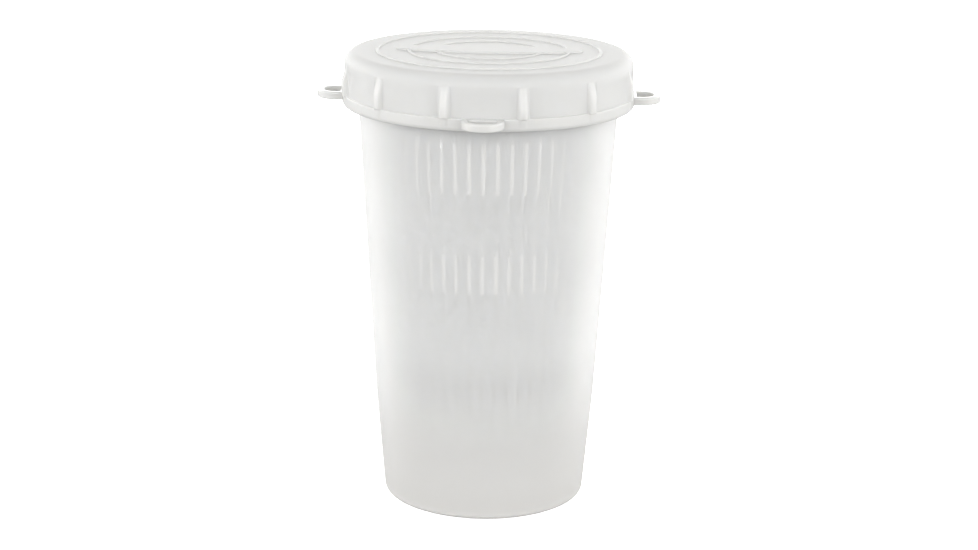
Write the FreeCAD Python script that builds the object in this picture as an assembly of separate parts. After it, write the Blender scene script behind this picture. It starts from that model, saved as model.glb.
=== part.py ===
"""Cheese mold: a slotted draining basket that hangs in a tall tub, under a push-on lid.

Millimetres, +Z up. The origin is the middle of the ring that the tub stands on, and -Y points
at the ear that faces the front.
"""
import FreeCAD, Part
import math
import os

# Tub: the tall outer container
TUB_WALL = 1.8
TUB_FLOOR = 2.0
TUB_BASE_R = 46.2
TUB_BASE_ROUND = 3.0
TUB_BEND_R, TUB_BEND_Z = 50.4, 48.0
TUB_BEND_ROUND = 400.0
TUB_NECK_R, TUB_NECK_Z = 58.7, 185.6
TUB_NECK_ROUND = 4.0
TUB_MOUTH_R, TUB_MOUTH_Z = 61.9, 188.6
TUB_MOUTH_WALL = 1.7
TUB_MOUTH_ROUND = 1.5
TUB_SEAT_Z = 190.6
TUB_SEAT_LIP = 0.2
TUB_BEAD_R, TUB_BEAD_Z = 62.5, 192.4
FOOT_RECESS = 1.2
FOOT_WIDTH = 4.0

# Lid
LID_TOP_Z = 207.6
LID_PLATE = 2.2
LID_R = 65.0
LID_EDGE_ROUND = 5.6
LID_WALL = 1.8
BAND_R = 65.9
BAND_BOTTOM_Z, BAND_TOP_Z = 183.3, 189.0
BAND_TURN_IN = 2.0
LID_CORNER_ROUND = 1.9
LID_SEAT_R, LID_SEAT = 61.3, 1.0
SNAP_R, SNAP_Z = 62.85, 187.4
PLUG_R = 58.9
PLUG_WALL = 1.5
PLUG_DEPTH = 9.0
RING_RADII = (50.2, 36.1, 23.9)
RING_WIDTH = 1.5
RING_HEIGHT = 0.6
RING_ROUND = 0.5
RIB_COUNT = 12
RIB_FIRST_DEG = 15.0
RIB_BOTTOM_Z, RIB_TOP_Z = 188.6, 198.4
RIB_WIDTH = 5.2
RIB_PROUD = 2.3
RIB_ROUND = 1.5
EAR_COUNT = 4
EAR_TIP_R = 77.5
EAR_WIDTH = 18.4
EAR_THICK = 3.5
EAR_TOP_Z = 189.0
EAR_WALL = 3.2
EAR_ROUND = 0.8
BADGE_LENGTH, BADGE_WIDTH = 84.0, 19.0
BADGE_HEIGHT = 0.9
BADGE_ROUND = 0.4

# Basket
BASKET_WALL = 1.3
BASKET_FLOOR_Z = 34.0
BASKET_FLOOR = 1.8
BASKET_BASE_R = 46.2
BASKET_BASE_ROUND = 3.0
BASKET_NECK_R, BASKET_NECK_Z = 55.9, 186.5
BASKET_NECK_ROUND = 6.0
BASKET_FLANGE_R = 59.9
BASKET_FLANGE = 1.8
TIERS = ((39.2, 73.6), (86.8, 125.2), (132.2, 175.8))
SLOTS_PER_TURN = 54
SLOT_WIDTH = 1.8
FLOOR_SLOT_RINGS = ((9.0, 19.0, 9), (24.0, 39.0, 18))
FLOOR_SLOT_WIDTH = 2.4

# Shared by all three mouldings
BEAD_HEIGHT = 2.4
BEAD_ROUND = 0.8
CREASE_ROUND = 0.3
EDGE_ROUND = 0.5
RIM_ROUND = 0.6

UP = FreeCAD.Vector(0, 0, 1)
CENTRE = FreeCAD.Vector(0, 0, 0)
GROOVE_REACH = 6.0
SINK = 1.0
TOUCH = 1e-6


def between(start, end, z):
    """Radius at height z on the straight side from start to end, each an (r, z) pair."""
    share = (z - start[1]) / (end[1] - start[1])
    return start[0] + share * (end[0] - start[0])


def tub_radius(z):
    """Outer radius of the tub's wall."""
    bend = (TUB_BEND_R, TUB_BEND_Z)
    if z < TUB_BEND_Z:
        return between((TUB_BASE_R, 0.0), bend, z)
    return between(bend, (TUB_NECK_R, TUB_NECK_Z), z)


def basket_radius(z):
    """Outer radius of the basket's wall."""
    base = (BASKET_BASE_R, BASKET_FLOOR_Z)
    return between(base, (BASKET_NECK_R, BASKET_NECK_Z), z)


def rounded_outline(corners):
    """Closed face in the X-Z plane from (r, z, rounding) corners, with tangent arcs at them."""
    points = [FreeCAD.Vector(r, 0, z) for r, z, _ in corners]
    edges = []
    ends = []
    for i, (_, _, rounding) in enumerate(corners):
        here = points[i]
        to_last = (points[i - 1] - here).normalize()
        to_next = (points[(i + 1) % len(points)] - here).normalize()
        if rounding == 0:
            ends.append((here, here))
            continue
        half = to_last.getAngle(to_next) / 2
        setback = rounding / math.tan(half)
        start = here + to_last * setback
        finish = here + to_next * setback
        middle = (to_last + to_next).normalize()
        centre = here + middle * (rounding / math.sin(half))
        edges.append(Part.Arc(start, centre - middle * rounding, finish).toShape())
        ends.append((start, finish))
    for i, (start, _) in enumerate(ends):
        last = ends[i - 1][1]
        if (start - last).Length > TOUCH:
            edges.append(Part.LineSegment(last, start).toShape())
    return Part.Face(Part.Wire(Part.__sortEdges__(edges)))


def turned(corners):
    """Solid of revolution about Z."""
    return rounded_outline(corners).revolve(CENTRE, UP, 360)


def around(shape, count, first_deg=0.0):
    """Copies of a shape set evenly round Z, the first turned by first_deg."""
    copies = []
    for i in range(count):
        copy = shape.copy()
        copy.rotate(CENTRE, UP, first_deg + i * 360.0 / count)
        copies.append(copy)
    return copies


def block(x_size, y_from, y_to, z_from, z_to):
    """Box centred on X."""
    corner = FreeCAD.Vector(-x_size / 2, y_from, z_from)
    return Part.makeBox(x_size, y_to - y_from, z_to - z_from, corner)


def tongue(width, y_tip, y_root, z_from, z_to):
    """Upright prism along Y with a half-round end at y_tip and a square end at y_root."""
    half = width / 2
    shoulder = y_tip + half
    root_left = FreeCAD.Vector(-half, y_root, z_from)
    left = FreeCAD.Vector(-half, shoulder, z_from)
    tip = FreeCAD.Vector(0, y_tip, z_from)
    right = FreeCAD.Vector(half, shoulder, z_from)
    root_right = FreeCAD.Vector(half, y_root, z_from)
    edges = [
        Part.LineSegment(root_left, left).toShape(),
        Part.Arc(left, tip, right).toShape(),
        Part.LineSegment(right, root_right).toShape(),
        Part.LineSegment(root_right, root_left).toShape(),
    ]
    return Part.Face(Part.Wire(edges)).extrude(UP * (z_to - z_from))


def make_container():
    rim_z = LID_TOP_Z - LID_PLATE - LID_SEAT
    inner_mouth = TUB_MOUTH_R - TUB_MOUTH_WALL
    seat_r = tub_radius(TUB_NECK_Z) - TUB_WALL
    floor_z = FOOT_RECESS + TUB_FLOOR
    foot_out = TUB_BASE_R - TUB_BASE_ROUND
    bead_low = TUB_BEAD_Z - BEAD_HEIGHT / 2
    bead_high = TUB_BEAD_Z + BEAD_HEIGHT / 2
    return turned([
        (0, FOOT_RECESS, 0),
        (foot_out - FOOT_WIDTH - FOOT_RECESS, FOOT_RECESS, RIM_ROUND),
        (foot_out - FOOT_WIDTH, 0, RIM_ROUND),
        (TUB_BASE_R, 0, TUB_BASE_ROUND),
        (TUB_BEND_R, TUB_BEND_Z, TUB_BEND_ROUND),
        (TUB_NECK_R, TUB_NECK_Z, TUB_NECK_ROUND),
        (TUB_MOUTH_R, TUB_MOUTH_Z, TUB_MOUTH_ROUND),
        (TUB_MOUTH_R, bead_low, EDGE_ROUND),
        (TUB_BEAD_R, TUB_BEAD_Z, BEAD_ROUND),
        (TUB_MOUTH_R, bead_high, EDGE_ROUND),
        (TUB_MOUTH_R, rim_z, EDGE_ROUND),
        (inner_mouth, rim_z, EDGE_ROUND),
        (inner_mouth, TUB_SEAT_Z, CREASE_ROUND),
        (seat_r + TUB_SEAT_LIP, TUB_SEAT_Z, RIM_ROUND),
        (seat_r, TUB_NECK_Z, TUB_NECK_ROUND),
        (TUB_BEND_R - TUB_WALL, TUB_BEND_Z, TUB_BEND_ROUND),
        (tub_radius(floor_z) - TUB_WALL, floor_z, TUB_BASE_ROUND - TUB_WALL),
        (0, floor_z, 0),
    ])


def make_basket():
    inner_floor = BASKET_FLOOR_Z + BASKET_FLOOR
    flange_z = TUB_SEAT_Z
    top_z = flange_z + BASKET_FLANGE
    neck_in = BASKET_NECK_R - BASKET_WALL
    basket = turned([
        (0, BASKET_FLOOR_Z, 0),
        (BASKET_BASE_R, BASKET_FLOOR_Z, BASKET_BASE_ROUND),
        (BASKET_NECK_R, BASKET_NECK_Z, BASKET_NECK_ROUND),
        (BASKET_NECK_R, flange_z, EDGE_ROUND),
        (BASKET_FLANGE_R, flange_z, EDGE_ROUND),
        (BASKET_FLANGE_R, top_z, RIM_ROUND),
        (neck_in, top_z, RIM_ROUND),
        (neck_in, BASKET_NECK_Z, BASKET_NECK_ROUND),
        (basket_radius(inner_floor) - BASKET_WALL, inner_floor, BASKET_BASE_ROUND - BASKET_WALL),
        (0, inner_floor, 0),
    ])
    cutters = []
    for bottom_z, top_z in TIERS:
        groove_r = basket_radius(bottom_z)
        groove = block(SLOT_WIDTH, -groove_r - GROOVE_REACH, -groove_r, bottom_z, top_z)
        cutters += around(groove, SLOTS_PER_TURN)
    for inner_r, outer_r, count in FLOOR_SLOT_RINGS:
        low = BASKET_FLOOR_Z - SINK
        high = inner_floor + SINK
        slot = tongue(FLOOR_SLOT_WIDTH, -outer_r, -inner_r, low, high)
        cutters += around(slot, count)
    return basket.cut(Part.makeCompound(cutters))


def make_ear():
    """Loop of the ear that points along -Y, rooted in the lid's band."""
    low = EAR_TOP_Z - EAR_THICK
    root = -BAND_R + SINK
    loop = tongue(EAR_WIDTH, -EAR_TIP_R, root, low, EAR_TOP_Z)
    eye_width = EAR_WIDTH - 2 * EAR_WALL
    eye_tip = -EAR_TIP_R + EAR_WALL
    eye = tongue(eye_width, eye_tip, -BAND_R - SINK, low - SINK, EAR_TOP_Z + SINK)
    loop = loop.cut(eye)
    level = [edge for edge in loop.Edges if edge.BoundBox.ZLength < TOUCH]
    rim = [edge for edge in level if edge.BoundBox.YMin < root - TOUCH]
    return loop.makeFillet(EAR_ROUND, rim)


def make_rib():
    """Grip rib that faces -Y, rounded on its outer edges."""
    front = -LID_R - RIB_PROUD
    rib = block(RIB_WIDTH, front, -LID_R + SINK, RIB_BOTTOM_Z, RIB_TOP_Z)
    outer = [edge for edge in rib.Edges if edge.BoundBox.YMax < front + TOUCH]
    return rib.makeFillet(RIB_ROUND, outer)


def make_badge():
    """Plain raised oval plate in the middle of the lid's top."""
    half_length = BADGE_LENGTH / 2
    half_width = BADGE_WIDTH / 2
    base_z = LID_TOP_Z - SINK
    outline = Part.Ellipse(FreeCAD.Vector(0, 0, base_z), half_length, half_width).toShape()
    plate = Part.Face(Part.Wire(outline)).extrude(UP * (SINK + BADGE_HEIGHT))
    top = [edge for edge in plate.Edges if edge.BoundBox.ZMin > LID_TOP_Z]
    return plate.makeFillet(BADGE_ROUND, top)


def make_ring(radius):
    """Low rounded ring that stands on the lid's top."""
    half = RING_WIDTH / 2
    low = LID_TOP_Z - SINK
    high = LID_TOP_Z + RING_HEIGHT
    return turned([
        (radius - half, low, 0),
        (radius + half, low, 0),
        (radius + half, high, RING_ROUND),
        (radius - half, high, RING_ROUND),
    ])


def make_lid():
    plate_z = LID_TOP_Z - LID_PLATE
    seat_z = plate_z - LID_SEAT
    skirt_in = LID_R - LID_WALL
    snap_low = SNAP_Z - BEAD_HEIGHT / 2
    snap_high = SNAP_Z + BEAD_HEIGHT / 2
    plug_in = PLUG_R - PLUG_WALL
    plug_z = plate_z - PLUG_DEPTH
    shell = turned([
        (0, LID_TOP_Z, 0),
        (0, plate_z, 0),
        (plug_in, plate_z, EDGE_ROUND),
        (plug_in, plug_z, RIM_ROUND),
        (PLUG_R, plug_z, RIM_ROUND),
        (PLUG_R, seat_z, EDGE_ROUND),
        (LID_SEAT_R, seat_z, CREASE_ROUND),
        (LID_SEAT_R, plate_z, CREASE_ROUND),
        (skirt_in, plate_z, LID_CORNER_ROUND - CREASE_ROUND),
        (skirt_in, snap_high, CREASE_ROUND),
        (SNAP_R, SNAP_Z, BEAD_ROUND),
        (skirt_in, snap_low, CREASE_ROUND),
        (skirt_in, BAND_BOTTOM_Z, EDGE_ROUND),
        (BAND_R, BAND_BOTTOM_Z, BAND_TURN_IN),
        (BAND_R, BAND_TOP_Z, EDGE_ROUND),
        (LID_R, BAND_TOP_Z, CREASE_ROUND),
        (LID_R, LID_TOP_Z, LID_EDGE_ROUND),
    ])
    extras = around(make_ear(), EAR_COUNT)
    extras += around(make_rib(), RIB_COUNT, RIB_FIRST_DEG)
    extras += [make_ring(radius) for radius in RING_RADII]
    extras.append(make_badge())
    return shell.fuse(extras)


def main():
    os.makedirs("parts", exist_ok=True)
    nodes = {"container": make_container(), "basket": make_basket(), "lid": make_lid()}
    for name, shape in nodes.items():
        shape.exportStep(f"parts/{name}.step")
        box = shape.BoundBox
        print(name, shape.isValid(), len(shape.Solids), round(shape.Volume / 1000, 2), box)


main()
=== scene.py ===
"""Looks for the cheese mold: a milky tub, the slotted basket hung in it, and the push-on lid."""
import math

import bmesh
import bpy
import numpy as np
from mathutils import Matrix, Vector


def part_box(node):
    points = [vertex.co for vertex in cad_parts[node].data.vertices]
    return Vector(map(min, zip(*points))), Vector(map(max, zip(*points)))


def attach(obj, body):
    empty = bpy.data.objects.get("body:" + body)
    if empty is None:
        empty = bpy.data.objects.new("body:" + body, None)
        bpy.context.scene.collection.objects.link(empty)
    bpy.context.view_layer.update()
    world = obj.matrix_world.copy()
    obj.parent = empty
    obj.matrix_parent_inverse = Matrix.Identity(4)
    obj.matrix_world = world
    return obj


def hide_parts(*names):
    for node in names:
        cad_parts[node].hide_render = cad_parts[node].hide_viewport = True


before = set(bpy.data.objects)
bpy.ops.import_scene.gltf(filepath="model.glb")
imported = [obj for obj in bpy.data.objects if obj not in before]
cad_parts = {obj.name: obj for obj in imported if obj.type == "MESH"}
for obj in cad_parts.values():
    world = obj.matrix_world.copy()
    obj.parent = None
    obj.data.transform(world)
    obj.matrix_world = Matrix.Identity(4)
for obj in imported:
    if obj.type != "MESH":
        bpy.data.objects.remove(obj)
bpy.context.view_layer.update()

MM = 0.001

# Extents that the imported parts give
TUB_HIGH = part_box("container")[1]
BASKET_LOW, BASKET_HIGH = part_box("basket")
LID_LOW, LID_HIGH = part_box("lid")
RIM_Z = TUB_HIGH.z
EAR_TIP_R = LID_HIGH.x
BAND_BOTTOM_Z = LID_LOW.z

# Tub
TUB_WALL = 1.8 * MM
TUB_FLOOR = 2.0 * MM
TUB_BASE_R = 46.2 * MM
TUB_BASE_ROUND = 3.0 * MM
TUB_BEND_R, TUB_BEND_Z = 50.4 * MM, 48.0 * MM
TUB_BEND_ROUND = 400.0 * MM
TUB_NECK_R, TUB_NECK_Z = 58.7 * MM, 185.6 * MM
TUB_NECK_ROUND = 4.0 * MM
TUB_MOUTH_R, TUB_MOUTH_Z = 61.9 * MM, 188.6 * MM
TUB_MOUTH_WALL = 1.7 * MM
TUB_MOUTH_ROUND = 1.5 * MM
TUB_SEAT_Z = 190.6 * MM
TUB_SEAT_LIP = 0.2 * MM
TUB_BEAD_R, TUB_BEAD_Z = TUB_HIGH.x, 192.4 * MM
FOOT_RECESS = 1.2 * MM
FOOT_WIDTH = 4.0 * MM
TUB_COLUMNS = 288

# Lid
LID_PLATE = 2.2 * MM
LID_SEAT_R, LID_SEAT = 61.3 * MM, 1.0 * MM
LID_TOP_Z = RIM_Z + LID_SEAT + LID_PLATE
LID_R = 65.0 * MM
LID_EDGE_ROUND = 5.6 * MM
LID_WALL = 1.8 * MM
LID_CORNER_ROUND = 1.6 * MM
BAND_R, BAND_TOP_Z = 65.9 * MM, 189.0 * MM
BAND_TURN_IN = 2.0 * MM
SNAP_R, SNAP_Z = 62.85 * MM, 187.4 * MM
PLUG_R = 58.9 * MM
PLUG_WALL = 1.5 * MM
PLUG_DEPTH = 9.0 * MM
RING_RADII = (50.2 * MM, 36.1 * MM, 23.9 * MM)
RING_WIDTH, RING_HEIGHT, RING_ROUND = 1.5 * MM, 0.6 * MM, 0.35 * MM
RING_CREASE = 0.15 * MM
RIB_COUNT = 12
RIB_LOW_Z, RIB_HIGH_Z = 187.6 * MM, 198.7 * MM
RIB_WIDTH, RIB_PROUD = 5.4 * MM, 2.0 * MM
RIB_CORNER, RIB_SHOULDER, RIB_FOOT = 1.8 * MM, 1.9 * MM, 0.3 * MM
RIB_STEP = 0.45 * MM
EAR_COUNT = 4
EAR_WIDTH, EAR_WALL = 18.4 * MM, 3.2 * MM
EAR_TOP_Z, EAR_THICK = 189.0 * MM, 3.5 * MM
EAR_ROUND = 0.8 * MM
BADGE_LENGTH, BADGE_WIDTH, BADGE_HEIGHT = 84.0 * MM, 19.0 * MM, 0.9 * MM
BADGE_ROUND = 0.6 * MM

# Basket
BASKET_WALL = 1.3 * MM
BASKET_FLOOR = 1.8 * MM
BASKET_BASE_R = 46.2 * MM
BASKET_BASE_ROUND = 3.0 * MM
BASKET_NECK_R, BASKET_NECK_Z = 55.9 * MM, 186.5 * MM
BASKET_NECK_ROUND = 6.0 * MM
BASKET_FLANGE_R = BASKET_HIGH.x
BASKET_FLANGE = 1.8 * MM
TIERS = ((39.2 * MM, 73.6 * MM), (86.8 * MM, 125.2 * MM), (132.2 * MM, 175.8 * MM))
SLOTS_PER_TURN = 54
SLOT_WIDTH = 1.8 * MM
WIDEST_HALF_SLOT = 0.3  # of the pitch, near the axis
RIB_COLUMNS = 3
COLUMNS_PER_SLOT = RIB_COLUMNS + 1
WALL_ROW = 3.2 * MM
FLOOR_SLOT_RINGS = ((9.0 * MM, 19.0 * MM, 9), (24.0 * MM, 39.0 * MM, 18))
FLOOR_SLOT_WIDTH = 2.4 * MM

# Shared by all three mouldings
BEAD_HEIGHT = 2.4 * MM
BEAD_ROUND = 0.8 * MM
CREASE_ROUND = 0.3 * MM
EDGE_ROUND = 0.5 * MM
RIM_ROUND = 0.6 * MM
SINK = 1.0 * MM
SMALL_ROUND = 1.0 * MM
SMALL_STEP, LARGE_STEP = math.radians(20), math.radians(7)
SHARP = math.radians(38)
LONGEST_SPAN = 8 * MM
WELD_REACH = 0.01 * MM
ON_AXIS, SAME_HEIGHT = 1e-9, 1e-7

# Plastics. Each base colour is clouded between a light and a shade
TUB_LIGHT, TUB_SHADE = (0.80, 0.80, 0.795), (0.78, 0.78, 0.77)
# Painted shade that darkens the tub's colour towards its foot
TUB_PAINTED_FOOT_SHADE = (0.56, 0.55, 0.532)
BASKET_LIGHT, BASKET_SHADE = (0.79, 0.79, 0.785), (0.76, 0.76, 0.75)
LID_LIGHT, LID_SHADE = (0.57, 0.57, 0.565), (0.54, 0.54, 0.53)
SCATTER_COLOURS = (1.0, 0.95, 0.85)

# Studio. The softboxes leave a gap between them in front, round the camera's azimuth
CAMERA_AZIMUTH, CAMERA_ELEVATION, CAMERA_DISTANCE = 1.8, 15.25, 1.031
CAMERA_ROLL = math.radians(0.78)
GAP_LEFT, GAP_RIGHT = CAMERA_AZIMUTH - 48, CAMERA_AZIMUTH + 41
SOFTBOX, SOFTBOX_REACH, SOFTBOX_HEIGHT, SOFTBOX_FAR_EDGE = 0.25, 0.45, 0.62, 118
WORLD_FRONT, WORLD_BACK, WORLD_TOP = 3.45, 2.65, 0.48
SEEN_WHITE = 1.02


# Outlines

def rounded(corners):
    """Points (r, z) along an outline of (r, z, rounding) corners, with tangent arcs at them."""
    places = [np.array(c[:2], float) for c in corners]
    points = []
    for i, corner in enumerate(corners):
        rounding = corner[2]
        here = places[i]
        if rounding == 0:
            points.append(here)
            continue
        to_last = places[i - 1] - here
        to_next = places[(i + 1) % len(places)] - here
        to_last /= np.linalg.norm(to_last)
        to_next /= np.linalg.norm(to_next)
        half = math.acos(np.clip(to_last @ to_next, -1, 1)) / 2
        start = here + to_last * rounding / math.tan(half)
        middle = (to_last + to_next) / np.linalg.norm(to_last + to_next)
        centre = here + middle * rounding / math.sin(half)
        turn = math.pi - 2 * half
        side = np.sign(to_last[1] * to_next[0] - to_last[0] * to_next[1])
        step = SMALL_STEP if rounding < SMALL_ROUND else LARGE_STEP
        count = max(2, math.ceil(turn / step - 0.01))
        for k in range(count + 1):
            a = side * turn * k / count
            arm = start - centre
            points.append(centre + np.array([arm[0] * math.cos(a) - arm[1] * math.sin(a),
                                             arm[0] * math.sin(a) + arm[1] * math.cos(a)]))
    return points


def divided(points, longest, low=-math.inf, high=math.inf):
    """The same outline, its stretches between heights low and high cut into equal short ones."""
    out = [points[0]]
    for last, here in zip(points, points[1:]):
        inside = min(last[1], here[1]) >= low and max(last[1], here[1]) <= high
        pieces = max(1, math.ceil(np.linalg.norm(here - last) / longest)) if inside else 1
        for k in range(1, pieces + 1):
            out.append(last + (here - last) * k / pieces)
    return out


# Meshes

def make_object(name, vertices, faces):
    """Object from a list of points and faces, its faces all turned outwards."""
    mesh = bpy.data.meshes.new(name)
    mesh.from_pydata([tuple(v) for v in vertices], [], faces)
    work = bmesh.new()
    work.from_mesh(mesh)
    bmesh.ops.recalc_face_normals(work, faces=work.faces)
    work.to_mesh(mesh)
    work.free()
    piece = bpy.data.objects.new(name, mesh)
    bpy.context.scene.collection.objects.link(piece)
    return piece


def smooth(piece):
    """Smooth shading with real edges kept sharp."""
    mesh = piece.data
    mesh.polygons.foreach_set("use_smooth", [True] * len(mesh.polygons))
    mesh.set_sharp_from_angle(angle=SHARP)
    even = piece.modifiers.new("even_shading", "WEIGHTED_NORMAL")
    even.keep_sharp = True
    even.weight = 100


def spin(name, outline, angles, swell=None):
    """Closed surface of revolution, its outline from axis to axis. swell(angle, r, z) adds to r."""
    vertices = []
    rows = []
    for r, z in outline:
        if r < ON_AXIS:
            rows.append([len(vertices)] * len(angles))
            vertices.append((0.0, 0.0, z))
            continue
        row = []
        for a in angles:
            radius = r + (swell(a, r, z) if swell else 0.0)
            row.append(len(vertices))
            vertices.append((radius * math.sin(a), -radius * math.cos(a), z))
        rows.append(row)
    faces = []
    count = len(angles)
    for lower, upper in zip(rows, rows[1:]):
        for k in range(count):
            n = (k + 1) % count
            face = [lower[k], lower[n], upper[n], upper[k]]
            faces.append(tuple(dict.fromkeys(face)))
    return make_object(name, vertices, faces)


def even_angles(count):
    return [2 * math.pi * k / count for k in range(count)]


def join_solids(piece, other, operation):
    """Applies a boolean of the other object to the piece and removes the other."""
    modifier = piece.modifiers.new("join", "BOOLEAN")
    modifier.object = other
    modifier.operation = operation
    modifier.solver = "EXACT"
    depsgraph = bpy.context.evaluated_depsgraph_get()
    mesh = bpy.data.meshes.new_from_object(piece.evaluated_get(depsgraph), depsgraph=depsgraph)
    piece.modifiers.clear()
    piece.data = mesh
    bpy.data.objects.remove(other)


def weld(piece):
    """Merges the points that a boolean leaves on top of each other."""
    work = bmesh.new()
    work.from_mesh(piece.data)
    bmesh.ops.remove_doubles(work, verts=work.verts, dist=WELD_REACH)
    work.to_mesh(piece.data)
    work.free()


def joined(name, pieces):
    """One object that holds the meshes of several."""
    vertices = []
    faces = []
    for piece in pieces:
        first = len(vertices)
        vertices += [v.co.copy() for v in piece.data.vertices]
        faces += [tuple(first + k for k in p.vertices) for p in piece.data.polygons]
        bpy.data.objects.remove(piece)
    return make_object(name, vertices, faces)


def turned_points(points, angle):
    turn = Matrix.Rotation(angle, 3, "Z")
    return [turn @ Vector(p) for p in points]


# Tub

def tub_wall_radius(z):
    """Outer radius of the tub's lower wall."""
    return TUB_BASE_R + (TUB_BEND_R - TUB_BASE_R) * z / TUB_BEND_Z


def build_tub():
    inner_mouth = TUB_MOUTH_R - TUB_MOUTH_WALL
    seat_r = TUB_NECK_R - TUB_WALL
    floor_z = FOOT_RECESS + TUB_FLOOR
    foot_out = TUB_BASE_R - TUB_BASE_ROUND
    bead_low = TUB_BEAD_Z - BEAD_HEIGHT / 2
    bead_high = TUB_BEAD_Z + BEAD_HEIGHT / 2
    outline = rounded([
        (0, FOOT_RECESS, 0),
        (foot_out - FOOT_WIDTH - FOOT_RECESS, FOOT_RECESS, RIM_ROUND),
        (foot_out - FOOT_WIDTH, 0, RIM_ROUND),
        (TUB_BASE_R, 0, TUB_BASE_ROUND),
        (TUB_BEND_R, TUB_BEND_Z, TUB_BEND_ROUND),
        (TUB_NECK_R, TUB_NECK_Z, TUB_NECK_ROUND),
        (TUB_MOUTH_R, TUB_MOUTH_Z, TUB_MOUTH_ROUND),
        (TUB_MOUTH_R, bead_low, EDGE_ROUND),
        (TUB_BEAD_R, TUB_BEAD_Z, BEAD_ROUND),
        (TUB_MOUTH_R, bead_high, EDGE_ROUND),
        (TUB_MOUTH_R, RIM_Z, EDGE_ROUND),
        (inner_mouth, RIM_Z, EDGE_ROUND),
        (inner_mouth, TUB_SEAT_Z, CREASE_ROUND),
        (seat_r + TUB_SEAT_LIP, TUB_SEAT_Z, RIM_ROUND),
        (seat_r, TUB_NECK_Z, TUB_NECK_ROUND),
        (TUB_BEND_R - TUB_WALL, TUB_BEND_Z, TUB_BEND_ROUND),
        (tub_wall_radius(floor_z) - TUB_WALL, floor_z, TUB_BASE_ROUND - TUB_WALL),
        (0, floor_z, 0),
    ])
    tub = spin("tub_body", divided(outline, LONGEST_SPAN), even_angles(TUB_COLUMNS))
    smooth(tub)
    return tub


# Lid

def rib_angles():
    """Column angles round the lid, close together where a grip rib's sides rise."""
    near_step, near_count, far_count = 0.4 * MM, 8, 6
    period = 2 * math.pi / RIB_COUNT
    near = [k * near_step / LID_R for k in range(near_count + 1)]
    far = [near[-1] + (period / 2 - near[-1]) * k / far_count for k in range(1, far_count + 1)]
    half = near + far
    one = sorted([-a for a in half[1:-1]] + half)
    return sorted(period * (k + 0.5) + a for k in range(RIB_COUNT) for a in one)


def rib_swell(angle, r, z):
    """How far a grip rib stands out of the skirt here."""
    if abs(r - LID_R) > CREASE_ROUND + (BAND_R - LID_R):
        return 0.0
    period = 2 * math.pi / RIB_COUNT
    across = abs((angle % period) - period / 2) * LID_R
    middle = (RIB_LOW_Z + RIB_HIGH_Z) / 2
    dx = across - (RIB_WIDTH / 2 - RIB_CORNER)
    dz = abs(z - middle) - ((RIB_HIGH_Z - RIB_LOW_Z) / 2 - RIB_CORNER)
    outside = math.hypot(max(dx, 0), max(dz, 0)) + min(max(dx, dz), 0) - RIB_CORNER
    share = np.clip((RIB_FOOT - outside) / (RIB_FOOT + RIB_SHOULDER), 0, 1)
    height = RIB_PROUD * math.sin(share * math.pi / 2) ** 1.6
    return max(0.0, height - (r - LID_R)) if height > 0 else 0.0


def ear_ring():
    """Pairs of an outer and an inner point round the loop along -Y, whose eye is D-shaped."""
    root = -(BAND_R - SINK)
    eye_root = -(BAND_R + SINK)
    outer_half = EAR_WIDTH / 2
    inner_half = outer_half - EAR_WALL
    shoulder = -(EAR_TIP_R - outer_half)
    side_count, arc_count, root_count = 4, 28, 8

    def on_side(sign, share):
        return ((sign * outer_half, root + (shoulder - root) * share),
                (sign * inner_half, eye_root + (shoulder - eye_root) * share))

    stations = [on_side(1, k / side_count) for k in range(side_count + 1)]
    for k in range(1, arc_count):
        a = math.pi * k / arc_count
        c, s = math.cos(a), math.sin(a)
        stations.append(((outer_half * c, shoulder - outer_half * s),
                         (inner_half * c, shoulder - inner_half * s)))
    stations += [on_side(-1, 1 - k / side_count) for k in range(side_count + 1)]
    for k in range(1, root_count):
        t = -1 + 2 * k / root_count
        stations.append(((outer_half * t, root), (inner_half * t, eye_root)))
    return stations


def ear_mesh():
    """The ear's points and quads, its bar's section a rectangle with round corners."""
    stations = ear_ring()
    low = EAR_TOP_Z - EAR_THICK
    corner_steps = 4
    section = []
    for cx, cz, first in ((1, 1, 0), (0, 1, 1), (0, 0, 2), (1, 0, 3)):
        for k in range(corner_steps + 1):
            a = (first + k / corner_steps) * math.pi / 2
            section.append((cx, cz, math.cos(a), math.sin(a)))
    points = []
    for outer, inner in stations:
        o = np.array(outer)
        i = np.array(inner)
        length = np.linalg.norm(o - i)
        along = (o - i) / length
        for cx, cz, c, s in section:
            reach = (length - EAR_ROUND if cx else EAR_ROUND) + EAR_ROUND * c
            z = (EAR_TOP_Z - EAR_ROUND if cz else low + EAR_ROUND) + EAR_ROUND * s
            x, y = i + along * reach
            points.append((x, y, z))
    n = len(section)
    faces = []
    for a in range(len(stations)):
        b = (a + 1) % len(stations)
        for k in range(n):
            m = (k + 1) % n
            faces.append((a * n + k, b * n + k, b * n + m, a * n + m))
    return points, faces


def badge_mesh():
    """A plain raised oval plate with a rounded edge."""
    count, edge_steps = 120, 5
    half_length, half_width = BADGE_LENGTH / 2, BADGE_WIDTH / 2
    top = LID_TOP_Z + BADGE_HEIGHT
    rows = [(0.0, LID_TOP_Z - SINK)]
    for k in range(edge_steps + 1):
        a = math.pi / 2 * k / edge_steps
        rows.append((BADGE_ROUND * (1 - math.cos(a)), top - BADGE_ROUND * (1 - math.sin(a))))
    points = []
    for inset, z in rows:
        for k in range(count):
            a = 2 * math.pi * k / count
            c, s = math.cos(a), math.sin(a)
            out = np.array([c / half_length, s / half_width])
            out /= np.linalg.norm(out)
            points.append((half_length * c - inset * out[0], half_width * s - inset * out[1], z))
    faces = [tuple(range(count))[::-1]]
    for row in range(len(rows) - 1):
        for k in range(count):
            n = (k + 1) % count
            here, above = row * count, (row + 1) * count
            faces.append((here + k, here + n, above + n, above + k))
    last = (len(rows) - 1) * count
    faces.append(tuple(range(last, last + count)))
    return points, faces


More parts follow.
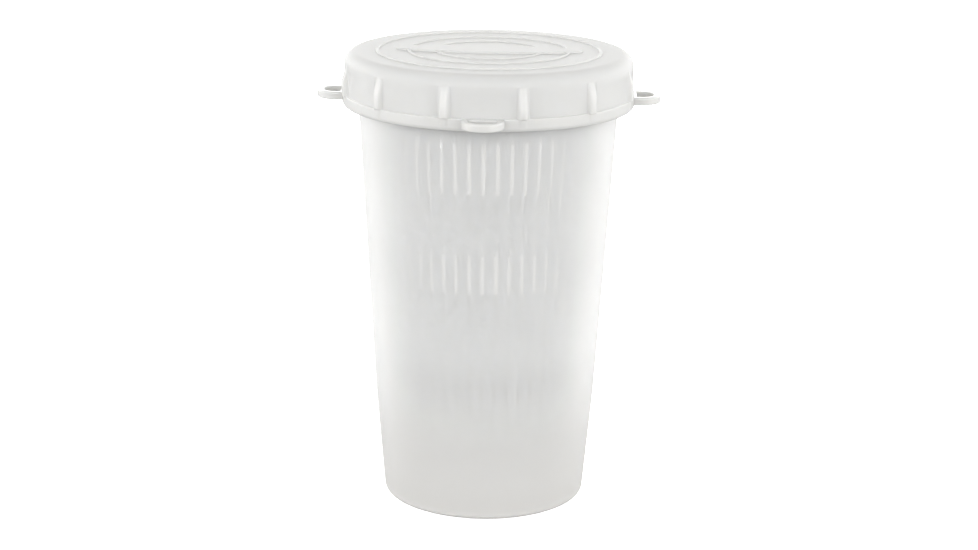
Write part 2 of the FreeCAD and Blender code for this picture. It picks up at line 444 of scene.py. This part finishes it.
def build_lid():
    plate_z = RIM_Z + LID_SEAT
    skirt_in = LID_R - LID_WALL
    plug_in = PLUG_R - PLUG_WALL
    plug_z = plate_z - PLUG_DEPTH
    snap_low = SNAP_Z - BEAD_HEIGHT / 2
    snap_high = SNAP_Z + BEAD_HEIGHT / 2
    corners = [
        (0, plate_z, 0),
        (plug_in, plate_z, EDGE_ROUND),
        (plug_in, plug_z, RIM_ROUND),
        (PLUG_R, plug_z, RIM_ROUND),
        (PLUG_R, RIM_Z, EDGE_ROUND),
        (LID_SEAT_R, RIM_Z, CREASE_ROUND),
        (LID_SEAT_R, plate_z, CREASE_ROUND),
        (skirt_in, plate_z, LID_CORNER_ROUND),
        (skirt_in, snap_high, CREASE_ROUND),
        (SNAP_R, SNAP_Z, BEAD_ROUND),
        (skirt_in, snap_low, CREASE_ROUND),
        (skirt_in, BAND_BOTTOM_Z, EDGE_ROUND),
        (BAND_R, BAND_BOTTOM_Z, BAND_TURN_IN),
        (BAND_R, BAND_TOP_Z, EDGE_ROUND),
        (LID_R, BAND_TOP_Z, CREASE_ROUND),
        (LID_R, LID_TOP_Z, LID_EDGE_ROUND),
    ]
    for radius in RING_RADII:
        corners += [
            (radius + RING_WIDTH / 2, LID_TOP_Z, RING_CREASE),
            (radius + RING_WIDTH / 2, LID_TOP_Z + RING_HEIGHT, RING_ROUND),
            (radius - RING_WIDTH / 2, LID_TOP_Z + RING_HEIGHT, RING_ROUND),
            (radius - RING_WIDTH / 2, LID_TOP_Z, RING_CREASE),
        ]
    corners.append((0, LID_TOP_Z, 0))
    outline = divided(rounded(corners), RIB_STEP, RIB_LOW_Z - SINK, RIB_HIGH_Z + SINK)
    lid = spin("lid_body", divided(outline, LONGEST_SPAN), rib_angles(), rib_swell)
    points, faces = ear_mesh()
    for k in range(EAR_COUNT):
        ear = make_object("ear", turned_points(points, 2 * math.pi * k / EAR_COUNT), faces)
        join_solids(lid, ear, "UNION")
    join_solids(lid, make_object("badge", *badge_mesh()), "UNION")
    weld(lid)
    smooth(lid)
    return lid


# Basket

def basket_radius(z):
    """Outer radius of the basket's wall."""
    share = (z - BASKET_LOW.z) / (BASKET_NECK_Z - BASKET_LOW.z)
    return BASKET_BASE_R + (BASKET_NECK_R - BASKET_BASE_R) * share


def through_height(tier):
    """Height above which a tier's upright groove is deeper than the wall, and so is a slot."""
    slope = (BASKET_NECK_R - BASKET_BASE_R) / (BASKET_NECK_Z - BASKET_LOW.z)
    return tier[0] + BASKET_WALL / slope


def wall_levels():
    """Heights of the wall's rows, from the foot of the lowest tier to the top of the highest."""
    marks = [z for tier in TIERS for z in (tier[0], through_height(tier), tier[1])]
    levels = [marks[0]]
    for low, high in zip(marks, marks[1:]):
        pieces = max(1, round((high - low) / WALL_ROW))
        levels += [low + (high - low) * k / pieces for k in range(1, pieces + 1)]
    return levels


def basket_column(r, index):
    """Angle of a column at radius r: a slot's left and right edges, then the rib's own columns."""
    slot, place = divmod(index, COLUMNS_PER_SLOT)
    pitch = 2 * math.pi / SLOTS_PER_TURN
    half = pitch * WIDEST_HALF_SLOT
    if r > SLOT_WIDTH:
        half = min(half, math.asin(SLOT_WIDTH / 2 / r))
    rib = pitch - 2 * half
    angle = -half if place == 0 else half + rib * (place - 1) / RIB_COLUMNS
    return slot * pitch + angle


def basket_point(r, index, z):
    a = basket_column(r, index)
    return (r * math.sin(a), -r * math.cos(a), z)


def basket_outline(levels):
    """The outline from axis to axis, and where in it the lowest outer and inner rows are."""
    flange_z = BASKET_HIGH.z - BASKET_FLANGE
    neck_in = BASKET_NECK_R - BASKET_WALL
    inner_floor = BASKET_LOW.z + BASKET_FLOOR
    inner_base = basket_radius(inner_floor) - BASKET_WALL
    below = rounded([(0, BASKET_LOW.z, 0), (BASKET_BASE_R, BASKET_LOW.z, BASKET_BASE_ROUND),
                     (basket_radius(levels[0]), levels[0], 0)])[:-1]
    above = rounded([(basket_radius(levels[-1]), levels[-1], 0),
                     (BASKET_NECK_R, BASKET_NECK_Z, BASKET_NECK_ROUND),
                     (BASKET_NECK_R, flange_z, EDGE_ROUND),
                     (BASKET_FLANGE_R, flange_z, EDGE_ROUND),
                     (BASKET_FLANGE_R, BASKET_HIGH.z, RIM_ROUND),
                     (neck_in, BASKET_HIGH.z, RIM_ROUND),
                     (neck_in, BASKET_NECK_Z, BASKET_NECK_ROUND),
                     (basket_radius(levels[-1]) - BASKET_WALL, levels[-1], 0)])[1:-1]
    inside = rounded([(basket_radius(levels[0]) - BASKET_WALL, levels[0], 0),
                      (inner_base, inner_floor, BASKET_BASE_ROUND - BASKET_WALL),
                      (0, inner_floor, 0)])[1:]
    outer = [np.array((basket_radius(z), z)) for z in levels]
    inner = [np.array((basket_radius(z) - BASKET_WALL, z)) for z in levels]
    outline = below + outer + above + inner[::-1] + inside
    return outline, len(below), len(outline) - len(inside) - 1


def basket_rows(outline):
    """The points of the outline's rows, and for each row the numbers of its columns' points."""
    count = SLOTS_PER_TURN * COLUMNS_PER_SLOT
    vertices = []
    rows = []
    for r, z in outline:
        if r < ON_AXIS:
            rows.append([len(vertices)] * count)
            vertices.append((0.0, 0.0, z))
            continue
        rows.append(list(range(len(vertices), len(vertices) + count)))
        vertices += [basket_point(r, k, z) for k in range(count)]
    return vertices, rows


def band_faces(lower, upper, slots_open):
    """Faces between two rows of points, left out at the slots where these are open."""
    faces = []
    count = len(lower)
    for k in range(count):
        if slots_open and k % COLUMNS_PER_SLOT == 0:
            continue
        n = (k + 1) % count
        faces.append(tuple(dict.fromkeys((lower[k], lower[n], upper[n], upper[k]))))
    return faces


def slot_side(tier, column, levels, outer_rows, inner_rows, vertices):
    """Pairs of an outer and a deep point up one side of a slot. The deep ones lie on the groove's
    floor, where they are new points, and higher up on the wall's inner face."""
    pairs = []
    for z, outer_row, inner_row in zip(levels, outer_rows, inner_rows):
        if not tier[0] - SAME_HEIGHT < z < tier[1] + SAME_HEIGHT:
            continue
        if z < tier[0] + SAME_HEIGHT:
            deep = outer_row[column]
        elif z > through_height(tier) - SAME_HEIGHT:
            deep = inner_row[column]
        else:
            deep = len(vertices)
            vertices.append(basket_point(basket_radius(tier[0]), column, z))
        pairs.append((outer_row[column], deep))
    return pairs


def slot_faces(left, right, groove_bands):
    """The faces of one slot: its two sides, the floor of its groove and its top."""
    faces = []
    for side, flip in ((left, False), (right, True)):
        for (outer_1, deep_1), (outer_2, deep_2) in zip(side, side[1:]):
            face = tuple(dict.fromkeys((outer_1, outer_2, deep_2, deep_1)))
            faces.append(face[::-1] if flip else face)
    for k in range(groove_bands):
        faces.append((left[k][1], right[k][1], right[k + 1][1], left[k + 1][1]))
    faces.append((right[-1][0], right[-1][1], left[-1][1], left[-1][0]))
    return faces


def basket_wall():
    """The basket as one closed mesh, its slots open and its grooves running out below them."""
    levels = wall_levels()
    outline, low_outer, low_inner = basket_outline(levels)
    vertices, rows = basket_rows(outline)
    outer_rows = rows[low_outer:low_outer + len(levels)]
    inner_rows = rows[low_inner - len(levels) + 1:low_inner + 1][::-1]
    faces = []
    for row, (here, there) in enumerate(zip(outline, outline[1:])):
        low_z = min(here[1], there[1])
        middle = (here[1] + there[1]) / 2
        on_outer = low_outer <= row < low_outer + len(levels) - 1
        on_inner = low_inner - len(levels) + 1 <= row < low_inner
        slots_open = any(tier[0] < middle < tier[1]
                         and (on_outer or on_inner and low_z > through_height(tier) - SAME_HEIGHT)
                         for tier in TIERS)
        faces += band_faces(rows[row], rows[row + 1], slots_open)
    for tier in TIERS:
        groove_bands = sum(tier[0] + SAME_HEIGHT < z < through_height(tier) + SAME_HEIGHT
                           for z in levels)
        for slot in range(SLOTS_PER_TURN):
            left, right = [slot_side(tier, slot * COLUMNS_PER_SLOT + k, levels, outer_rows,
                                     inner_rows, vertices) for k in range(2)]
            faces += slot_faces(left, right, groove_bands)
    return make_object("basket_body", vertices, faces)


def floor_slot(inner_r, outer_r, angle):
    """Upright prism with round ends that cuts one drain slot in the basket's floor."""
    half = FLOOR_SLOT_WIDTH / 2
    end_steps = 12
    outline = []
    for k in range(end_steps + 1):
        a = math.pi * k / end_steps
        outline.append((half * math.cos(a), -(outer_r - half) - half * math.sin(a)))
    for k in range(end_steps + 1):
        a = math.pi * k / end_steps
        outline.append((-half * math.cos(a), -(inner_r + half) + half * math.sin(a)))
    low = BASKET_LOW.z - SINK
    high = BASKET_LOW.z + BASKET_FLOOR + SINK
    n = len(outline)
    points = [(x, y, z) for z in (low, high) for x, y in outline]
    faces = [tuple(range(n)), tuple(range(n, 2 * n))[::-1]]
    faces += [(k, k + n, (k + 1) % n + n, (k + 1) % n) for k in range(n)]
    return make_object("floor_slot", turned_points(points, angle), faces)


def build_basket():
    basket = basket_wall()
    slots = []
    for inner_r, outer_r, count in FLOOR_SLOT_RINGS:
        slots += [floor_slot(inner_r, outer_r, 2 * math.pi * k / count) for k in range(count)]
    join_solids(basket, joined("floor_slots", slots), "DIFFERENCE")
    smooth(basket)
    return basket


# Materials

def smooth_ramp(nodes, low, high, at_low, at_high):
    """Node that eases its value from at_low to at_high as its input runs from low to high."""
    ramp = nodes.new("ShaderNodeMapRange")
    ramp.interpolation_type = "SMOOTHSTEP"
    ramp.inputs["From Min"].default_value = low
    ramp.inputs["From Max"].default_value = high
    ramp.inputs["To Min"].default_value = at_low
    ramp.inputs["To Max"].default_value = at_high
    return ramp


def new_material(name):
    material = bpy.data.materials.new(name)
    material.use_nodes = True
    nodes = material.node_tree.nodes
    return material, nodes, material.node_tree.links, nodes["Principled BSDF"]


def by_height(material, low_z, high_z, at_low, at_high):
    """Value that runs from at_low to at_high between two heights on the piece."""
    nodes, links = material.node_tree.nodes, material.node_tree.links
    parts = nodes.new("ShaderNodeSeparateXYZ")
    links.new(nodes["Texture Coordinate"].outputs["Object"], parts.inputs["Vector"])
    ramp = smooth_ramp(nodes, low_z, high_z, at_low, at_high)
    links.new(parts.outputs["Z"], ramp.inputs["Value"])
    return ramp.outputs["Result"]


def milky_plastic(name, light, shade, roughness, subsurface, depth, ripple):
    """Moulded polypropylene: faintly clouded, with a fine skin and a moulded wall's slow ripple."""
    material, nodes, links, shader = new_material(name)
    place = nodes.new("ShaderNodeTexCoord")
    cloud = nodes.new("ShaderNodeTexNoise")
    cloud.inputs["Scale"].default_value = 34
    cloud.inputs["Detail"].default_value = 5
    tint = nodes.new("ShaderNodeMix")
    tint.data_type = "RGBA"
    tint.inputs["A"].default_value = (*light, 1)
    tint.inputs["B"].default_value = (*shade, 1)
    links.new(place.outputs["Object"], cloud.inputs["Vector"])
    links.new(cloud.outputs["Fac"], tint.inputs["Factor"])
    links.new(tint.outputs["Result"], shader.inputs["Base Color"])

    skin = nodes.new("ShaderNodeTexNoise")
    skin.inputs["Scale"].default_value = 420
    skin.inputs["Detail"].default_value = 3
    links.new(place.outputs["Object"], skin.inputs["Vector"])
    gloss = nodes.new("ShaderNodeMapRange")
    gloss.inputs["To Min"].default_value = roughness - 0.05
    gloss.inputs["To Max"].default_value = roughness + 0.05
    links.new(skin.outputs["Fac"], gloss.inputs["Value"])
    links.new(gloss.outputs["Result"], shader.inputs["Roughness"])

    wave = nodes.new("ShaderNodeTexNoise")
    wave.inputs["Scale"].default_value = 22
    wave.inputs["Detail"].default_value = 1
    links.new(place.outputs["Object"], wave.inputs["Vector"])
    slow = nodes.new("ShaderNodeBump")
    slow.inputs["Strength"].default_value = 1.0
    slow.inputs["Distance"].default_value = ripple
    links.new(wave.outputs["Fac"], slow.inputs["Height"])
    fine = nodes.new("ShaderNodeBump")
    fine.inputs["Strength"].default_value = 0.25
    fine.inputs["Distance"].default_value = 0.00003
    links.new(skin.outputs["Fac"], fine.inputs["Height"])
    links.new(slow.outputs["Normal"], fine.inputs["Normal"])
    links.new(fine.outputs["Normal"], shader.inputs["Normal"])

    shader.inputs["IOR"].default_value = 1.49
    shader.inputs["Subsurface Weight"].default_value = subsurface
    shader.inputs["Subsurface Radius"].default_value = SCATTER_COLOURS
    shader.inputs["Subsurface Scale"].default_value = depth
    return material


def make_tub_plastic():
    """See-through in the upper wall, and more solid towards the foot, where painted shade darkens
    its colour. It is more solid at a slant too, because the sight line then runs a longer way
    through the wall."""
    material = milky_plastic("tub_plastic", TUB_LIGHT, TUB_SHADE, roughness=0.34, subsurface=0.3,
                             depth=12 * MM, ripple=0.04 * MM)
    nodes, links = material.node_tree.nodes, material.node_tree.links
    shader = nodes["Principled BSDF"]
    shader.inputs["Specular IOR Level"].default_value = 0.25
    clouded = shader.inputs["Base Color"].links[0].from_socket
    # Painted shade: the colour darkens towards the foot and fades out by 80 mm up
    foot = nodes.new("ShaderNodeMix")
    foot.data_type = "RGBA"
    foot.inputs["B"].default_value = (*TUB_PAINTED_FOOT_SHADE, 1)
    links.new(by_height(material, 0, 80 * MM, 0.9, 0.0), foot.inputs["Factor"])
    links.new(clouded, foot.inputs["A"])
    links.new(foot.outputs["Result"], shader.inputs["Base Color"])

    slant = nodes.new("ShaderNodeLayerWeight")
    slant.inputs["Blend"].default_value = 0.5
    grazing = smooth_ramp(nodes, 0.20, 0.90, 0.0, 0.75)
    links.new(slant.outputs["Facing"], grazing.inputs["Value"])
    solid = nodes.new("ShaderNodeMix")
    solid.inputs["B"].default_value = 1.0
    links.new(grazing.outputs["Result"], solid.inputs["Factor"])
    links.new(by_height(material, 10 * MM, 70 * MM, 0.84, 0.38), solid.inputs["A"])
    links.new(solid.outputs["Result"], shader.inputs["Alpha"])
    return material


def make_basket_plastic():
    """Deeply scattering, so that the wall glows between the slots."""
    return milky_plastic("basket_plastic", BASKET_LIGHT, BASKET_SHADE, roughness=0.40,
                         subsurface=1.0, depth=30 * MM, ripple=0.02 * MM)


def make_lid_plastic():
    """Opaque, with a gloss on the skirt that ends where the lid's edge rounds over."""
    material = milky_plastic("lid_plastic", LID_LIGHT, LID_SHADE, roughness=0.45, subsurface=0.45,
                             depth=6 * MM, ripple=0.02 * MM)
    shader = material.node_tree.nodes["Principled BSDF"]
    shader.inputs["Specular IOR Level"].default_value = 0.2
    shader.inputs["Coat Roughness"].default_value = 0.12
    gloss = by_height(material, 199.5 * MM, 203 * MM, 0.8, 0.0)
    material.node_tree.links.new(gloss, shader.inputs["Coat Weight"])
    return material


def dress(piece, material, body, node):
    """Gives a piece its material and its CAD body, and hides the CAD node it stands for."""
    piece.data.materials.clear()
    piece.data.materials.append(material)
    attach(piece, body)
    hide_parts(node)


# Stage

def look_at(place, target, roll):
    """World matrix of an object at place whose -Z points at target, turned by roll about it."""
    forward = (Vector(target) - Vector(place)).normalized()
    right = forward.cross(Vector((0, 0, 1))).normalized()
    up = right.cross(forward)
    tilted_right = right * math.cos(roll) + up * math.sin(roll)
    tilted_up = up * math.cos(roll) - right * math.sin(roll)
    matrix = Matrix((tilted_right, tilted_up, -forward)).transposed().to_4x4()
    matrix.translation = place
    return matrix


def around_object(azimuth_deg, elevation_deg, distance, centre):
    """A point that far from the centre; azimuth 0 is in front, at -Y."""
    a, e = math.radians(azimuth_deg), math.radians(elevation_deg)
    arm = Vector((math.sin(a) * math.cos(e), -math.cos(a) * math.cos(e), math.sin(e)))
    return Vector(centre) + arm * distance


def add_camera():
    data = bpy.data.cameras.new("camera")
    data.sensor_width = 36
    data.lens = 82.2
    camera = bpy.data.objects.new("camera", data)
    bpy.context.scene.collection.objects.link(camera)
    target = Vector((1.3 * MM, 0, 103 * MM))
    place = around_object(CAMERA_AZIMUTH, CAMERA_ELEVATION, CAMERA_DISTANCE, target)
    camera.matrix_world = look_at(place, target, CAMERA_ROLL)
    bpy.context.scene.camera = camera


def add_softbox(name, near_edge, far_edge):
    """Upright light just off the floor between two azimuths. It faces the object, unseen."""
    half = math.radians(abs(far_edge - near_edge) / 2)
    width, height = 2 * SOFTBOX_REACH * math.tan(half), SOFTBOX_HEIGHT
    data = bpy.data.lights.new(name, "AREA")
    data.shape = "RECTANGLE"
    data.size, data.size_y = width, height
    data.energy = SOFTBOX * math.pi * width * height
    data.color = (1.0, 0.995, 0.985)
    light = bpy.data.objects.new(name, data)
    light.visible_camera = False
    bpy.context.scene.collection.objects.link(light)
    centre = Vector((0, 0, height / 2 + 5 * MM))
    place = around_object((near_edge + far_edge) / 2, 0, SOFTBOX_REACH, centre)
    light.matrix_world = look_at(place, centre, 0)


def add_world():
    """White all round for the camera. As light it is bright low down, more so in front, and dim
    overhead."""
    world = bpy.data.worlds.new("studio")
    world.use_nodes = True
    nodes = world.node_tree.nodes
    links = world.node_tree.links
    place = nodes.new("ShaderNodeTexCoord")
    parts = nodes.new("ShaderNodeSeparateXYZ")
    links.new(place.outputs["Generated"], parts.inputs["Vector"])
    behind = smooth_ramp(nodes, -0.75, -0.15, WORLD_FRONT, WORLD_BACK)
    links.new(parts.outputs["Y"], behind.inputs["Value"])
    above = smooth_ramp(nodes, 0.35, 0.60, WORLD_BACK, WORLD_TOP)
    links.new(behind.outputs["Result"], above.inputs["To Min"])
    links.new(parts.outputs["Z"], above.inputs["Value"])
    lit = nodes["Background"]
    lit.inputs["Color"].default_value = (1.0, 0.998, 0.99, 1)
    links.new(above.outputs["Result"], lit.inputs["Strength"])
    seen = nodes.new("ShaderNodeBackground")
    seen.inputs["Color"].default_value = (1, 1, 1, 1)
    seen.inputs["Strength"].default_value = SEEN_WHITE
    ray = nodes.new("ShaderNodeLightPath")
    pick = nodes.new("ShaderNodeMixShader")
    links.new(ray.outputs["Is Camera Ray"], pick.inputs[0])
    links.new(lit.outputs[0], pick.inputs[1])
    links.new(seen.outputs[0], pick.inputs[2])
    links.new(pick.outputs[0], nodes["World Output"].inputs["Surface"])
    bpy.context.scene.world = world


def add_floor():
    """White floor, which glows for the camera as brightly as the background does."""
    size = 6.0
    corners = [(-size, -size, 0), (size, -size, 0), (size, size, 0), (-size, size, 0)]
    floor = make_object("floor", corners, [(0, 1, 2, 3)])
    material, nodes, links, shader = new_material("white_sweep")
    shader.inputs["Base Color"].default_value = (0.60, 0.60, 0.60, 1)
    shader.inputs["Roughness"].default_value = 0.6
    shader.inputs["Emission Color"].default_value = (1, 1, 1, 1)
    ray = nodes.new("ShaderNodeLightPath")
    glow = nodes.new("ShaderNodeMath")
    glow.operation = "MULTIPLY"
    glow.inputs[1].default_value = SEEN_WHITE
    links.new(ray.outputs["Is Camera Ray"], glow.inputs[0])
    links.new(glow.outputs["Value"], shader.inputs["Emission Strength"])
    floor.data.materials.append(material)


def add_front_card():
    """Dark card on the floor in front, unseen by the camera, that keeps the gloss there calm."""
    near, far, lift = 0.22, 1.6, 1 * MM
    left, right = math.tan(math.radians(GAP_LEFT)), math.tan(math.radians(GAP_RIGHT))
    corners = [(side * out, -out, lift)
               for side, out in ((left, near), (right, near), (right, far), (left, far))]
    card = make_object("front_card", corners, [(0, 1, 2, 3)])
    card.visible_camera = False
    material, _, _, shader = new_material("grey_card")
    shader.inputs["Base Color"].default_value = (0.2, 0.2, 0.2, 1)
    shader.inputs["Roughness"].default_value = 0.9
    card.data.materials.append(material)


def build_stage():
    add_camera()
    add_world()
    add_floor()
    add_front_card()
    for name, near_edge, far_edge in (("softbox_left", GAP_LEFT, -SOFTBOX_FAR_EDGE),
                                      ("softbox_right", GAP_RIGHT, SOFTBOX_FAR_EDGE)):
        add_softbox(name, near_edge, far_edge)
    scene = bpy.context.scene
    scene.view_settings.view_transform = "Standard"
    scene.cycles.max_bounces = 24
    scene.cycles.diffuse_bounces = 12
    scene.cycles.glossy_bounces = 8
    scene.cycles.transmission_bounces = 24


build_stage()
tub = build_tub()
basket = build_basket()
lid = build_lid()

dress(tub, make_tub_plastic(), "tub", "container")
dress(basket, make_basket_plastic(), "strainer", "basket")
dress(lid, make_lid_plastic(), "cap", "lid")
